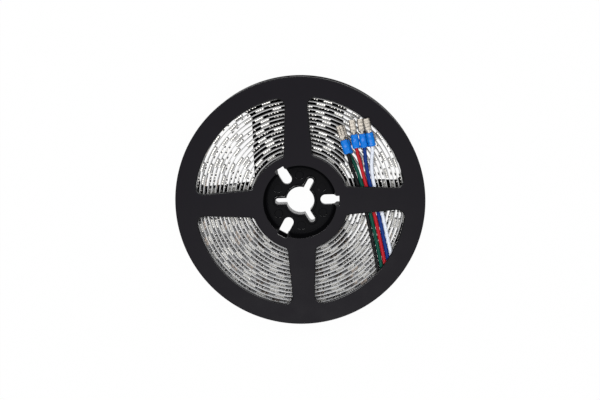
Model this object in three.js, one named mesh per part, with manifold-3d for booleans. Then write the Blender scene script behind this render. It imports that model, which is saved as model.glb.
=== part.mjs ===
// LED strip light reel: a two-part plastic reel wound with five metres of LED strip.
// Five coloured leads leave the strip's outer end, cross the windows of the front flange and end in crimp terminals.
// Millimetres, +Z up. The reel lies on its back flange, with its axis on Z and its outer face at z = 0.
import * as THREE from "three";
import { mergeVertices } from "three/addons/utils/BufferGeometryUtils.js";
import Module from "manifold-3d";

const wasm = await Module();
wasm.setup();

// Reel flanges
const flangeOverhang = 3.1;
const flangeThickness = 1.6;
const flangeEdgeChamfer = 0.35;
const rimWidth = 10.7;
const frontSpokeWidthAtRim = 11.6;
const frontSpokeWidthAtHub = 15.4;
const backSpokeWidthAtRim = 16;
const backSpokeWidthAtHub = 20.4;
const hubWebWidth = 5.1;
const labelBarMargin = 3.8;
const windowCornerAtRim = 4;
const windowCornerAtHub = 2.7;

// Reel hub
const barrelDiameter = 42.4;
const barrelWall = 1.35;
const cupDraft = 1;
const cupCorner = 1.4;
const cupLip = 0.35;
const hubFloorThickness = 1.5;
const frontCollarHeight = 1.2;
const backCollarHeight = 4.5;
const collarWall = 1.3;
const spindleHoleDiameter = 15.2;
const keywayWidth = 3.4;
const keywayDepth = 6;
const snapSlotWidth = 5.4;
const snapSlotLength = 10.2;
const snapSlotOverrun = 0.1;
const pegInset = 7.3;
const pegDiameter = 4.4;
const pegClearance = 0.2;
const pegRecess = 0.3;
const keywayTurns = [60, 180, 300];
const snapSlotTurns = [0, 120, 240];
const pegTurns = [30, 150, 270];
const pegHoleTurns = [90, 210, 330];

// LED strip
const stripLength = 5000;
const stripWidth = 10;
const stripThickness = 0.45;
const ledSide = 5;
const ledHeight = 1.6;
const ledPitch = 1000 / 60;
const turnSlack = 0.095;
const coilStartSlack = 0.6;
const stripEndAngle = -70;
const stripSideClearance = 0.3;
const leadSpace = 2.5;

// Cover over the solder joint, which follows on the strip's outer end
const jointCoverLength = 10;
const jointCoverThickness = 3.2;
const jointCoverClearance = 0.1;
const jointCoverOverhang = 0.2;

// Leads and crimp terminals
const leadDiameter = 1.85;
const sleeveLength = 7.4;
const sleeveWidth = 4.2;
const sleeveThickness = 3.2;
const sleeveBoreDiameter = 2.5;
const sleeveEdge = 0.25;
const terminalLength = 6.4;
const terminalWidth = 3.6;
const terminalThickness = 1.4;
const terminalSheet = 0.4;
const terminalSlot = 0.7;
const terminalNeckWidth = 1.4;
const terminalNeckLength = 1.6;
const terminalNeckInset = 3;
const terminalNeckThickness = 0.5;

// Smoothness of round stretches, in degrees for each step
const rimStep = 6;
const hubStep = 10;
const cornerStep = 22.5;
const coilStep = 18;
const pegStep = 36;
const leadSides = 8;
const leadSteps = 22;

// The winding, as a spiral whose length is the strip's
const barrelRadius = barrelDiameter / 2;
const turnPitch = stripThickness + ledHeight + turnSlack;
const coilStartRadius = barrelRadius + coilStartSlack;
const coilEndRadius = Math.sqrt(coilStartRadius ** 2 + (turnPitch * stripLength) / Math.PI);
const radiusGrowth = turnPitch / (2 * Math.PI);
const coilEnd = THREE.MathUtils.degToRad(stripEndAngle);
const coilStart = coilEnd - (coilEndRadius - coilStartRadius) / radiusGrowth;
const stepAngle = THREE.MathUtils.degToRad(coilStep);
const shortestStep = 0.02;

// Sizes that follow from the ones above
const flangeRadius = coilEndRadius + stripThickness + ledHeight + flangeOverhang;
const windowOuterRadius = flangeRadius - rimWidth;
const windowInnerRadius = barrelRadius + hubWebWidth;
const labelBarHalfWidth = barrelRadius + labelBarMargin;
const flangeSpacing = stripSideClearance + stripWidth + leadSpace;
const halfWidth = flangeSpacing / 2 + flangeThickness;
const stripBottom = flangeThickness + stripSideClearance;
const stripTop = stripBottom + stripWidth;
const stripMiddle = stripBottom + stripWidth / 2;
const keywayReach = spindleHoleDiameter / 2 + keywayDepth;
const snapSlotStart = barrelRadius - snapSlotLength;
const pegCircleRadius = barrelRadius - pegInset;
const sleeveSeat = stripTop + stripSideClearance + sleeveThickness / 2;
const embed = 0.05;
const tolerance = 1e-6;
const weldDistance = 1e-4;

// The centre line of each lead, from the joint cover over the coil's front edge to its sleeve
const leadRoutes = {
  black: [
    [31.8, -56.2, 10.9], [35.2, -54.1, 11.2], [38.3, -51.9, 12.2], [40.0, -48.3, 13.0],
    [40.9, -44.4, 13.0], [41.2, -41.4, 13.0], [41.0, -39.4, 13.0], [40.6, -36.7, 13.0],
    [38.3, -22.5, 13.0], [35.7, -7.9, 13.0], [34.0, -0.5, 13.0], [32.0, 6.6, 13.0],
    [30.2, 12.9, 14.1], [28.3, 18.2, 15.6], [27.1, 24.3, 17.3], [26.0, 28.1, 17.3],
  ],
  green: [
    [31.8, -56.2, 8.9], [35.2, -54.1, 9.2], [38.7, -51.8, 10.2], [41.4, -48.9, 11.6],
    [42.9, -45.6, 12.9], [43.3, -41.9, 13.0], [43.1, -39.2, 13.0], [42.7, -36.4, 13.0],
    [40.4, -22.4, 13.0], [37.7, -7.9, 13.0], [36.0, -0.5, 13.0], [34.1, 6.6, 13.0],
    [32.2, 13.2, 13.0], [30.3, 18.9, 13.0], [28.0, 23.8, 13.8], [27.0, 27.5, 13.8],
  ],
  red: [
    [31.8, -56.2, 6.9], [35.2, -54.1, 7.2], [38.9, -51.9, 8.2], [42.2, -49.3, 9.6],
    [44.6, -46.5, 11.4], [45.5, -42.8, 13.0], [45.3, -38.9, 13.0], [44.8, -35.9, 13.0],
    [42.5, -22.3, 13.0], [39.8, -7.9, 13.0], [38.1, -0.5, 13.0], [36.2, 6.6, 13.0],
    [34.6, 13.4, 13.0], [33.2, 20.0, 13.0], [31.6, 26.6, 13.8], [31.1, 30.5, 13.8],
  ],
  blue: [
    [31.8, -56.2, 4.9], [35.2, -54.1, 5.2], [39.1, -52.0, 6.1], [43.0, -49.8, 7.7],
    [46.0, -47.0, 9.9], [47.7, -43.2, 12.4], [47.5, -38.7, 13.0], [46.9, -35.4, 13.0],
    [44.6, -22.2, 13.0], [42.0, -7.9, 13.0], [40.3, -0.5, 13.0], [38.4, 6.6, 13.0],
    [37.0, 14.0, 13.0], [36.1, 20.4, 13.0], [35.8, 26.7, 13.8], [35.3, 30.7, 13.8],
  ],
  white: [
    [31.8, -56.2, 2.9], [35.2, -54.1, 3.2], [39.3, -52.1, 4.1], [43.7, -50.1, 5.8],
    [47.2, -47.3, 8.4], [49.4, -43.4, 11.4], [49.6, -38.6, 13.0], [49.0, -35.0, 13.0],
    [46.7, -22.0, 13.0], [44.1, -7.9, 13.0], [42.4, -0.5, 13.0], [40.5, 6.6, 13.0],
    [39.4, 14.0, 13.1], [39.3, 20.4, 13.5], [39.9, 27.7, 14.8], [39.3, 31.5, 15.4],
  ],
};

// The middle of each sleeve, its height above the seat on the coil, and its heading and climb in degrees.
// The black sleeve lies on the green one, and the white one climbs onto the rim.
const stackedLift = sleeveThickness + stripSideClearance;
const sleevePlaces = {
  black: { x: 25.7, y: 29.3, lift: stackedLift, heading: 106, climb: 0 },
  green: { x: 26.7, y: 28.7, lift: 0, heading: 104, climb: 0 },
  red: { x: 30.9, y: 31.7, lift: 0, heading: 98, climb: 0 },
  blue: { x: 35.2, y: 31.9, lift: 0, heading: 97, climb: 0 },
  white: { x: 39.1, y: 32.7, lift: 1.8, heading: 101, climb: 9 },
};

const material = {
  reelPlastic: new THREE.MeshStandardMaterial({ color: 0x222225, roughness: 0.5, metalness: 0 }),
  reelPlasticBack: new THREE.MeshStandardMaterial({ color: 0x202023, roughness: 0.5, metalness: 0 }),
  strip: new THREE.MeshStandardMaterial({ color: 0xe6e6e2, roughness: 0.5, metalness: 0 }),
  jointCover: new THREE.MeshStandardMaterial({ color: 0xd8d8d4, roughness: 0.45, metalness: 0 }),
};
const leadColours = { black: 0x1a1a1c, green: 0x0a5a46, red: 0xb9232d, blue: 0x143282, white: 0xe6ebf5 };
const sleeveColour = 0x006ed7;
const terminalColour = 0xc8c3b9;

const radians = THREE.MathUtils.degToRad;

// A closed geometry as a solid that can be joined and cut
function solid(geometry) {
  const bare = geometry.clone();
  bare.deleteAttribute("normal");
  bare.deleteAttribute("uv");
  const merged = mergeVertices(bare, weldDistance);
  return new wasm.Manifold(
    new wasm.Mesh({
      numProp: 3,
      vertProperties: merged.attributes.position.array,
      triVerts: new Uint32Array(merged.index.array),
    }),
  );
}

// A joined or cut solid as a geometry again
function geometryOf(body) {
  const mesh = body.getMesh();
  const geometry = new THREE.BufferGeometry();
  geometry.setAttribute("position", new THREE.BufferAttribute(mesh.vertProperties, 3));
  geometry.setIndex(new THREE.BufferAttribute(mesh.triVerts, 1));
  geometry.computeVertexNormals();
  return geometry;
}

// Points on an arc, both ends included
function arcPoints(x, y, radius, from, to, step) {
  const count = Math.max(1, Math.ceil(Math.abs(to - from) / step - tolerance));
  const points = [];
  for (let i = 0; i <= count; i++) {
    const angle = radians(from + ((to - from) * i) / count);
    points.push(new THREE.Vector2(x + radius * Math.cos(angle), y + radius * Math.sin(angle)));
  }
  return points;
}

// Points on a full circle about a point
function circlePoints(x, y, radius, step) {
  return arcPoints(x, y, radius, 0, 360, step).slice(0, -1);
}

// A prism on an outline, from one height up to another
function prism(outline, bottom, top) {
  const geometry = new THREE.ExtrudeGeometry(new THREE.Shape(outline), {
    depth: top - bottom,
    bevelEnabled: false,
  });
  return geometry.translate(0, 0, bottom);
}

// A turned solid about Z, from its profile of radius and height
function turned(profile, step) {
  return new THREE.LatheGeometry(profile, Math.round(360 / step)).rotateX(Math.PI / 2);
}

// The straight side of a window, which lies on the left of the way from one point to the other
function windowSide(from, to) {
  const way = to.clone().sub(from).normalize();
  const normal = new THREE.Vector2(-way.y, way.x);
  return { way, normal, offset: normal.dot(from) };
}

// The centre of a fillet between a straight side and a circle about the axis
function filletOnCircle(side, radius, fillet, outwards) {
  const near = side.offset + fillet;
  const along = Math.sqrt(radius * radius - near * near) * (outwards ? 1 : -1);
  return side.normal.clone().multiplyScalar(near).addScaledVector(side.way, along);
}

// The centre of a fillet between two straight sides
function filletOnSides(one, other, fillet) {
  const a = one.offset + fillet;
  const b = other.offset + fillet;
  const cross = one.normal.x * other.normal.y - one.normal.y * other.normal.x;
  return new THREE.Vector2(
    (a * other.normal.y - b * one.normal.y) / cross,
    (b * one.normal.x - a * other.normal.x) / cross,
  );
}

// The outline of the window between the +X spoke and the bar or spoke at +Y.
// A wide bar hides the hub's arc, and the window then ends in a straight corner.
function windowOutline(lower, upper, hasHubArc) {
  const rimFillet = windowOuterRadius - windowCornerAtRim;
  const hubFillet = windowInnerRadius + windowCornerAtHub;
  const first = filletOnCircle(lower, rimFillet, windowCornerAtRim, true);
  const second = filletOnCircle(upper, rimFillet, windowCornerAtRim, false);
  const heading = (v) => THREE.MathUtils.radToDeg(v.angle());
  const points = [
    ...arcPoints(first.x, first.y, windowCornerAtRim, -90, heading(first), cornerStep),
    ...arcPoints(0, 0, windowOuterRadius, heading(first), heading(second), rimStep).slice(1, -1),
    ...arcPoints(second.x, second.y, windowCornerAtRim, heading(second), 180, cornerStep),
  ];
  if (hasHubArc) {
    const third = filletOnCircle(upper, hubFillet, windowCornerAtHub, false);
    const fourth = filletOnCircle(lower, hubFillet, windowCornerAtHub, true);
    points.push(
      ...arcPoints(third.x, third.y, windowCornerAtHub, 180, heading(third) + 180, cornerStep),
      ...arcPoints(0, 0, windowInnerRadius, heading(third), heading(fourth), hubStep).slice(1, -1),
      ...arcPoints(fourth.x, fourth.y, windowCornerAtHub, heading(fourth) + 180, 270, cornerStep),
    );
  } else {
    const corner = filletOnSides(lower, upper, windowCornerAtHub);
    points.push(...arcPoints(corner.x, corner.y, windowCornerAtHub, 180, 270, cornerStep));
  }
  return points;
}

// The upper side of a tapered +X spoke, and the right side of the same spoke at +Y
function spokeSides(widthAtHub, widthAtRim) {
  const atHub = new THREE.Vector2(windowInnerRadius, widthAtHub / 2);
  const atRim = new THREE.Vector2(windowOuterRadius, widthAtRim / 2);
  return {
    upper: windowSide(atHub, atRim),
    right: windowSide(new THREE.Vector2(atRim.y, atRim.x), new THREE.Vector2(atHub.y, atHub.x)),
  };
}

// Four windows between four equal spokes
function frontWindows() {
  const spoke = spokeSides(frontSpokeWidthAtHub, frontSpokeWidthAtRim);
  const one = windowOutline(spoke.upper, spoke.right, true);
  return [0, 90, 180, 270].map((turn) =>
    one.map((p) => p.clone().rotateAround(new THREE.Vector2(), radians(turn))),
  );
}

// Four windows beside a wide upright bar that takes a label
function backWindows() {
  const barSide = windowSide(
    new THREE.Vector2(labelBarHalfWidth, windowOuterRadius),
    new THREE.Vector2(labelBarHalfWidth, 0),
  );
  const spoke = spokeSides(backSpokeWidthAtHub, backSpokeWidthAtRim);
  const one = windowOutline(spoke.upper, barSide, false);
  const mirrored = (x, y) => one.map((p) => new THREE.Vector2(p.x * x, p.y * y));
  return [mirrored(1, 1), mirrored(-1, 1), mirrored(-1, -1), mirrored(1, -1)];
}

// A flange plate with its windows and a chamfered rim, its outer face up
function flangePlate(windows) {
  const inner = halfWidth - flangeThickness;
  const flat = flangeRadius - flangeEdgeChamfer;
  const profile = [
    new THREE.Vector2(0, inner),
    new THREE.Vector2(flat, inner),
    new THREE.Vector2(flangeRadius, inner + flangeEdgeChamfer),
    new THREE.Vector2(flangeRadius, halfWidth - flangeEdgeChamfer),
    new THREE.Vector2(flat, halfWidth),
    new THREE.Vector2(0, halfWidth),
  ];
  let plate = solid(turned(profile, rimStep));
  for (const hole of windows) plate = plate.subtract(solid(prism(hole, 0, halfWidth + flangeThickness)));
  return plate;
}

// The dished cup that is hollowed out of the hub down to its floor
function cupHollow() {
  const mouth = barrelRadius - barrelWall;
  const floor = mouth - cupDraft;
  const deep = hubFloorThickness;
  const profile = [
    new THREE.Vector2(0, deep),
    ...arcPoints(floor - cupCorner, deep + cupCorner, cupCorner, -90, 0, cornerStep),
    new THREE.Vector2(mouth, halfWidth - cupLip),
    new THREE.Vector2(mouth + cupLip, halfWidth),
    new THREE.Vector2(mouth + cupLip, halfWidth + flangeThickness),
    new THREE.Vector2(0, halfWidth + flangeThickness),
  ];
  return solid(turned(profile, hubStep));
}

// A round hole with keyways, grown on all sides by a margin
function keyholeOutline(margin) {
  const radius = spindleHoleDiameter / 2 + margin;
  const half = keywayWidth / 2 + margin;
  const tip = keywayReach - keywayWidth / 2;
  const opening = THREE.MathUtils.radToDeg(Math.asin(half / radius));
  const between = 360 / keywayTurns.length;
  const points = [];
  for (const turn of keywayTurns) {
    const centre = new THREE.Vector2(tip, 0).rotateAround(new THREE.Vector2(), radians(turn));
    points.push(...arcPoints(centre.x, centre.y, half, turn - 90, turn + 90, cornerStep));
    points.push(...arcPoints(0, 0, radius, turn + opening, turn + between - opening, hubStep));
  }
  return points;
}

// One slot of the snap fit, which opens the floor, the barrel and the flange's inner edge
function snapSlot(turn) {
  const half = snapSlotWidth / 2;
  const end = barrelRadius + snapSlotOverrun;
  const outline = [
    ...arcPoints(snapSlotStart + half, 0, half, 90, 270, cornerStep),
    new THREE.Vector2(end, -half),
    new THREE.Vector2(end, half),
  ];
  return solid(prism(outline, -flangeThickness, halfWidth + flangeThickness).rotateZ(radians(turn)));
}

// A round pin or pocket on the circle of pegs
function pegPrism(turn, radius, bottom, top) {
  const angle = radians(turn);
  const x = pegCircleRadius * Math.cos(angle);
  const y = pegCircleRadius * Math.sin(angle);
  return solid(prism(circlePoints(x, y, radius, pegStep), bottom, top));
}

// One half of the reel, its outer face up and its parting face at z = 0.
// Three pegs reach down into the other half, and three holes take that half's pegs.
function reelHalf(windows, collarHeight) {
  const floorTop = hubFloorThickness;
  const hole = pegDiameter / 2 + pegClearance;
  const barrel = solid(prism(circlePoints(0, 0, barrelRadius, hubStep), 0, halfWidth - flangeThickness / 2));
  const collar = solid(prism(keyholeOutline(collarWall), floorTop - embed, floorTop + collarHeight));
  const keyhole = solid(prism(keyholeOutline(0), -flangeThickness, halfWidth));
  let half = flangePlate(windows).add(barrel).subtract(cupHollow()).add(collar).subtract(keyhole);
  for (const turn of snapSlotTurns) half = half.subtract(snapSlot(turn));
  for (const turn of pegTurns) {
    half = half.add(pegPrism(turn, pegDiameter / 2, pegRecess - floorTop, embed));
    half = half.subtract(pegPrism(turn, hole, floorTop - pegRecess, halfWidth));
  }
  for (const turn of pegHoleTurns) {
    half = half.subtract(pegPrism(turn, hole, -flangeThickness, halfWidth));
  }
  return geometryOf(half);
}

// The radius of a turn's inner side, which is the LEDs' front, at an angle
function coilRadius(angle) {
  return coilStartRadius + radiusGrowth * (angle - coilStart);
}

// The angle at a length of strip from its outer end
function coilAngleAt(length) {
  const radius = Math.sqrt(coilEndRadius ** 2 - 2 * radiusGrowth * length);
  return coilStart + (radius - coilStartRadius) / radiusGrowth;
}

// The radius of the spiral's straight facets at an angle, at an offset from the turn's inner side
function facetRadius(angle, offset) {
  const before = Math.floor(angle / stepAngle + tolerance) * stepAngle;
  const after = before + stepAngle;
  const a = coilRadius(before) + offset;
  const b = coilRadius(after) + offset;
  return (a * b * Math.sin(stepAngle)) / (a * Math.sin(angle - before) + b * Math.sin(after - angle));
}

// A band that follows the spiral's facets between two angles, two offsets and two heights
function spiralBand(from, to, inner, outer, bottom, top) {
  const angles = [from];
  for (let k = Math.ceil(from / stepAngle + shortestStep); k < to / stepAngle - shortestStep; k++) {
    angles.push(k * stepAngle);
  }
  angles.push(to);
  const positions = [];
  for (const angle of angles) {
    for (const [offset, z] of [[inner, bottom], [outer, bottom], [outer, top], [inner, top]]) {
      const radius = facetRadius(angle, offset);
      positions.push(radius * Math.cos(angle), radius * Math.sin(angle), z);
    }
  }
  const last = 4 * (angles.length - 1);
  const faces = [0, 1, 2, 0, 2, 3, last, last + 2, last + 1, last, last + 3, last + 2];
  for (let i = 0; i < last; i += 4) {
    for (let side = 0; side < 4; side++) {
      const a = i + side;
      const b = i + ((side + 1) % 4);
      faces.push(a, a + 4, b + 4, a, b + 4, b);
    }
  }
  const geometry = new THREE.BufferGeometry();
  geometry.setAttribute("position", new THREE.Float32BufferAttribute(positions, 3));
  geometry.setIndex(faces);
  return geometry;
}

// Solids joined two by two until one is left
function joined(bodies) {
  let rest = bodies;
  while (rest.length > 1) {
    const next = [];
    for (let i = 0; i < rest.length; i += 2) {
      next.push(i + 1 < rest.length ? rest[i].add(rest[i + 1]) : rest[i]);
    }
    rest = next;
  }
  return rest[0];
}

// The strip in one piece: the wound board with an LED block on its inner face at every pitch
function ledStrip() {
  const boardOuter = ledHeight + stripThickness;
  const board = solid(spiralBand(coilStart, coilEnd, ledHeight, boardOuter, stripBottom, stripTop));
  const blocks = [];
  for (let length = ledPitch / 2; length < stripLength; length += ledPitch) {
    const from = coilAngleAt(length + ledSide / 2);
    const to = coilAngleAt(length - ledSide / 2);
    const low = stripMiddle - ledSide / 2;
    const high = stripMiddle + ledSide / 2;
    blocks.push(solid(spiralBand(from, to, 0, ledHeight + embed, low, high)));
  }
  return geometryOf(board.add(joined(blocks)));
}

// The cover at the strip's outer end, where the leads are soldered on
function jointCover() {
  const radius = coilRadius(coilEnd);
  return spiralBand(
    coilEnd + jointCoverClearance / radius,
    coilEnd + jointCoverLength / radius,
    jointCoverClearance,
    jointCoverClearance + jointCoverThickness,
    stripBottom - jointCoverOverhang,
    stripTop + jointCoverOverhang,
  );
}

// A lead as a tube along its route
function leadTube(route) {
  const path = new THREE.CatmullRomCurve3(
    route.map((p) => new THREE.Vector3(...p)),
    false,
    "centripetal",
  );
  const section = circlePoints(0, 0, leadDiameter / 2, 360 / leadSides);
  return new THREE.ExtrudeGeometry(new THREE.Shape(section), {
    steps: leadSteps,
    extrudePath: path,
    bevelEnabled: false,
  });
}

// The insulating sleeve, an oval tube along +Y with its middle at the origin
function sleeve() {
  const oval = [];
  for (const p of circlePoints(0, 0, 1, cornerStep)) {
    oval.push(new THREE.Vector2((p.x * sleeveWidth) / 2, (p.y * sleeveThickness) / 2));
  }
  const tube = new THREE.ExtrudeGeometry(new THREE.Shape(oval), {
    depth: sleeveLength - 2 * sleeveEdge,
    bevelThickness: sleeveEdge,
    bevelSize: sleeveEdge,
    bevelOffset: -sleeveEdge,
    bevelSegments: 1,
  });
  tube.translate(0, 0, sleeveEdge - sleeveLength / 2);
  const bore = prism(circlePoints(0, 0, sleeveBoreDiameter / 2, pegStep), -sleeveLength, sleeveLength);
  return geometryOf(solid(tube).subtract(solid(bore))).rotateX(-Math.PI / 2);
}

// The receptacle: a flat bed with both edges rolled inwards, and a neck that goes into the sleeve.
// It points along +Y, and its origin is the middle of the sleeve.
function terminal() {
  const roll = terminalThickness / 2;
  const bend = terminalWidth / 2 - roll;
  const lip = terminalSlot / 2;
  const inside = roll - terminalSheet;
  const outline = [
    ...arcPoints(bend, 0, roll, -90, 90, cornerStep),
    new THREE.Vector2(lip, roll),
    new THREE.Vector2(lip, inside),
    ...arcPoints(bend, 0, inside, 90, -90, cornerStep * 2),
    ...arcPoints(-bend, 0, inside, -90, -270, cornerStep * 2),
    new THREE.Vector2(-lip, inside),
    new THREE.Vector2(-lip, roll),
    ...arcPoints(-bend, 0, roll, 90, 270, cornerStep),
  ];
  const start = sleeveLength / 2 + terminalNeckLength;
  const bed = solid(prism(outline, start, start + terminalLength));
  const half = terminalNeckWidth / 2;
  const neckTop = terminalNeckThickness - roll;
  const neckOutline = [
    new THREE.Vector2(-half, -roll),
    new THREE.Vector2(half, -roll),
    new THREE.Vector2(half, neckTop),
    new THREE.Vector2(-half, neckTop),
  ];
  const neck = solid(prism(neckOutline, sleeveLength / 2 - terminalNeckInset, start + terminalSheet));
  return geometryOf(bed.add(neck)).rotateX(-Math.PI / 2);
}

function named(name, geometry, finish) {
  const mesh = new THREE.Mesh(geometry, finish);
  mesh.name = name;
  return mesh;
}

// One lead with its sleeve and terminal
function leadSet(colour) {
  const set = new THREE.Group();
  const leadFinish = new THREE.MeshStandardMaterial({ color: leadColours[colour], roughness: 0.45 });
  set.add(named(`lead_${colour}`, leadTube(leadRoutes[colour]), leadFinish));
  const place = sleevePlaces[colour];
  const end = new THREE.Group();
  end.position.set(place.x, place.y, sleeveSeat + place.lift);
  end.rotation.set(radians(place.climb), 0, radians(place.heading - 90), "ZYX");
  const sleeveFinish = new THREE.MeshStandardMaterial({ color: sleeveColour, roughness: 0.4 });
  const terminalFinish = new THREE.MeshStandardMaterial({ color: terminalColour, roughness: 0.3, metalness: 1 });
  end.add(named(`sleeve_${colour}`, sleeve(), sleeveFinish));
  end.add(named(`terminal_${colour}`, terminal(), terminalFinish));
  set.add(end);
  return set;
}

const group = new THREE.Group();

const backHalf = named("reel_back_half", reelHalf(backWindows(), backCollarHeight), material.reelPlasticBack);
backHalf.rotation.x = Math.PI;
backHalf.position.z = halfWidth;
group.add(backHalf);

const frontHalf = named("reel_front_half", reelHalf(frontWindows(), frontCollarHeight), material.reelPlastic);
frontHalf.position.z = halfWidth;
group.add(frontHalf);

group.add(named("led_strip", ledStrip(), material.strip));
group.add(named("joint_cover", jointCover(), material.jointCover));
for (const colour of Object.keys(leadRoutes)) group.add(leadSet(colour));

export default group;
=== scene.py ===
"""The looks of an LED strip light reel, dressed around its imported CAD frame.

Metres throughout, +Z along the reel's axis and out of its front flange.
"""

import logging
import math
import random
from collections.abc import Sequence
from dataclasses import dataclass, field
from enum import Enum
from functools import cache

import bmesh
import bpy
from mathutils import Matrix, Vector
from mathutils.geometry import tessellate_polygon


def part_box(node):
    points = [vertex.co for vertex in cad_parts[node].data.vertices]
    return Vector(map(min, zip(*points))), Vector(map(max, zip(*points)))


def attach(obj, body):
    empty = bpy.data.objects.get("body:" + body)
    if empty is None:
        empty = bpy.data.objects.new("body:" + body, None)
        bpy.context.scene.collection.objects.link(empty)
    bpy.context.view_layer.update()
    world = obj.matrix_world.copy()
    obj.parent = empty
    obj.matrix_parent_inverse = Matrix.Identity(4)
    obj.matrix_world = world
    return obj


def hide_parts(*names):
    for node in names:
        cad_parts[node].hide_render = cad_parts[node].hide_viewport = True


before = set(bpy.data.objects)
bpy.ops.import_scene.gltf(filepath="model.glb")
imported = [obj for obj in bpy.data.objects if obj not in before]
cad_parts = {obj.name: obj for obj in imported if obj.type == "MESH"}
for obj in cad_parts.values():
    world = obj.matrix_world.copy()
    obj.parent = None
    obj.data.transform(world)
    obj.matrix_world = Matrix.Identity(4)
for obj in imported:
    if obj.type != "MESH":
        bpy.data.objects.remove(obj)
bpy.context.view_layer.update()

MM = 0.001
BODY = "root"

Flat = tuple[float, float]
Point = tuple[float, float, float]
Colour = tuple[float, float, float]

log = logging.getLogger("reel")


def srgb(red: float, green: float, blue: float) -> Colour:
    """Turns a screen colour into the linear colour that shaders take.

    Args:
        red: Red, from 0 to 255.
        green: Green, from 0 to 255.
        blue: Blue, from 0 to 255.

    Returns:
        The linear colour.
    """
    shares = (red / 255, green / 255, blue / 255)
    return tuple(((c + 0.055) / 1.055) ** 2.4 if c > 0.04 else c / 12.92 for c in shares)


class Shade:
    """A socket of a recipe that takes part in Python expressions."""

    def __init__(self, recipe: "Recipe", socket: bpy.types.NodeSocket) -> None:
        """Wraps an output socket of a recipe's tree."""
        self.recipe = recipe
        self.socket = socket

    def _maths(self, operation: str, first: "Shade | float", second: "Shade | float") -> "Shade":
        """Adds a Math node on two values."""
        return self.recipe.node("ShaderNodeMath", {"operation": operation}, {0: first, 1: second})

    def __add__(self, other: "Shade | float") -> "Shade":
        """Adds a value."""
        return self._maths("ADD", self, other)

    def __radd__(self, other: float) -> "Shade":
        """Is added to a number."""
        return self._maths("ADD", other, self)

    def __sub__(self, other: "Shade | float") -> "Shade":
        """Takes a value away."""
        return self._maths("SUBTRACT", self, other)

    def __rsub__(self, other: float) -> "Shade":
        """Is taken away from a number."""
        return self._maths("SUBTRACT", other, self)

    def __mul__(self, other: "Shade | float") -> "Shade":
        """Multiplies by a value."""
        return self._maths("MULTIPLY", self, other)

    def __rmul__(self, other: float) -> "Shade":
        """Multiplies a number."""
        return self._maths("MULTIPLY", other, self)

    def __gt__(self, other: "Shade | float") -> "Shade":
        """Is 1 where the value is the greater, and 0 elsewhere."""
        return self._maths("GREATER_THAN", self, other)

    def maximum(self, other: "Shade | float") -> "Shade":
        """Takes the greater of two values."""
        return self._maths("MAXIMUM", self, other)


class Recipe:
    """A node tree under construction, for a material or the world."""

    def __init__(self, owner: bpy.types.Material | bpy.types.World) -> None:
        """Starts an empty tree on its owner.

        Args:
            owner: The material or world that the tree belongs to.
        """
        owner.use_nodes = True
        self.tree = owner.node_tree
        self.tree.nodes.clear()

    def node(self, kind: str, settings: dict | None = None, inputs: dict | None = None,
             output: int | str = 0) -> Shade:
        """Adds a node of any type.

        Args:
            kind: The node's type name.
            settings: Its own settings.
            inputs: Numbers, colours or shades for its sockets, by name or place.
            output: The place or name of the output that is wanted.

        Returns:
            The wanted output.
        """
        made = self.tree.nodes.new(kind)
        for key, value in (settings or {}).items():
            setattr(made, key, value)
        for key, value in (inputs or {}).items():
            socket = made.inputs[key]
            if isinstance(value, Shade):
                self.tree.links.new(value.socket, socket)
            elif isinstance(value, tuple) and socket.type == "RGBA":
                socket.default_value = (*value, 1)
            else:
                socket.default_value = value
        return Shade(self, made.outputs[output])

    def position(self) -> Shade:
        """Gives the place on the object, in metres."""
        return self.node("ShaderNodeTexCoord", output=3)

    def height(self) -> Shade:
        """Gives the place along the reel's axis, in metres."""
        return self.node("ShaderNodeSeparateXYZ", None, {0: self.position()}, 2)

    def noise(self, size: float, detail: float = 2.0, stretch: Point = (1, 1, 1)) -> Shade:
        """Adds a soft noise around 0.5.

        Args:
            size: The size of its blotches, in metres.
            detail: How many finer layers it has.
            stretch: How much finer it is along each axis.

        Returns:
            The noise's value.
        """
        place = self.node("ShaderNodeVectorMath", {"operation": "MULTIPLY"}, {0: self.position(), 1: stretch})
        return self.node("ShaderNodeTexNoise", None, {"Vector": place, "Scale": 1 / size, "Detail": detail})

    def blend(self, factor: Shade | float, first: Shade | Colour, second: Shade | Colour) -> Shade:
        """Blends two colours, from the first at 0 to the second at 1."""
        return self.node("ShaderNodeMix", {"data_type": "RGBA"}, {0: factor, 6: first, 7: second}, 2)

    def bump(self, height: Shade, depth: float, strength: float = 1.0) -> Shade:
        """Turns a height into a normal, with the depth in metres of a height of 1."""
        return self.node("ShaderNodeBump", None, {"Strength": strength, "Distance": depth, "Height": height})

    def surface(self, inputs: dict) -> None:
        """Ends a material with a Principled shader that has these inputs."""
        self.output("ShaderNodeOutputMaterial", self.node("ShaderNodeBsdfPrincipled", None, inputs))

    def output(self, kind: str, shader: Shade) -> None:
        """Ends the tree with a shader on its output.

        Args:
            kind: The output node's type name.
            shader: The shader that it shows.
        """
        self.tree.links.new(shader.socket, self.tree.nodes.new(kind).inputs["Surface"])

    def seen_directly(self) -> Shade:
        """Is 1 for rays from the camera, from gloss and through glass, and 0 for the rest.

        Returns:
            That share.
        """
        kinds = ("Camera", "Glossy", "Transmission")
        rays = [self.node("ShaderNodeLightPath", output=f"Is {kind} Ray") for kind in kinds]
        return rays[0].maximum(rays[1]).maximum(rays[2])


def material(name: str) -> tuple[bpy.types.Material, Recipe]:
    """Makes an empty material and the recipe that fills it.

    Args:
        name: The material's name.

    Returns:
        The material and its recipe.
    """
    made = bpy.data.materials.new(name)
    return made, Recipe(made)


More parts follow.
